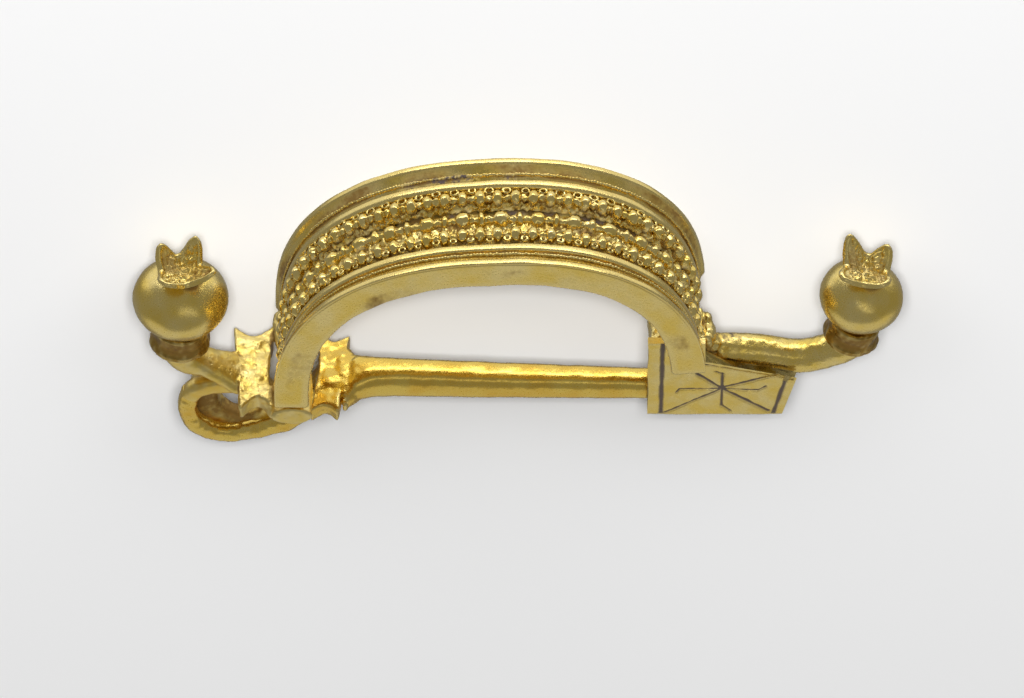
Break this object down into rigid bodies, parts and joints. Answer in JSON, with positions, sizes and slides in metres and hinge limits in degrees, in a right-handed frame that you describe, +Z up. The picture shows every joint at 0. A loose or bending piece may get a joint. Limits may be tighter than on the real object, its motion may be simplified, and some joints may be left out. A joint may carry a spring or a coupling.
{
  "type": "fibula brooch",
  "caption": "Gold arch-bow fibula brooch with beaded channel, sprung pin, folded engraved catch plate and pomegranate finials, lying on its bow's back rim.",
  "frame": {"origin": "centre of the underside of the bounding box, in the plane that the brooch lies on", "axes": "+X from the spring to the catch, +Y from the pin towards the top of the bow, +Z up from the floor, out of the engraved face"},
  "size_m": [0.0498, 0.021, 0.0092],
  "materials": {
    "bow": "pale worn gold, softly polished",
    "beaded_wire_front": "bright gold, worn on the crowns of the beads",
    "beaded_wire_middle": "bright gold, worn on the crowns of the beads",
    "beaded_wire_back": "bright gold, worn on the crowns of the beads",
    "head": "bright cast gold, finely pitted",
    "foot_with_catch": "softly polished gold, engraved plate",
    "pin": "polished drawn gold",
    "collar_left": "brownish tarnished gold",
    "collar_right": "brownish tarnished gold",
    "pomegranate_left": "polished gold with fine scratches",
    "pomegranate_right": "polished gold with fine scratches"
  },
  "bodies": {
    "brooch": {"bow": "bow", "beaded_wire_front": "beaded_wire_front", "beaded_wire_middle": "beaded_wire_middle", "beaded_wire_back": "beaded_wire_back", "head": "head", "foot_with_catch": "foot_with_catch", "collar_left": "collar_left", "collar_right": "collar_right", "pomegranate_left": "pomegranate_left", "pomegranate_right": "pomegranate_right"},
    "pin": {"pin": "pin"}
  },
  "joints": [
    {"name": "pin_swing", "type": "hinge", "parent": "brooch", "child": "pin", "pos_m": [-0.01889, -0.00736, 0.00535], "axis": [0, 0.309, -0.9511], "range_deg": [0, 18], "stiffness_Nm_per_rad": 0.02}
  ]
}
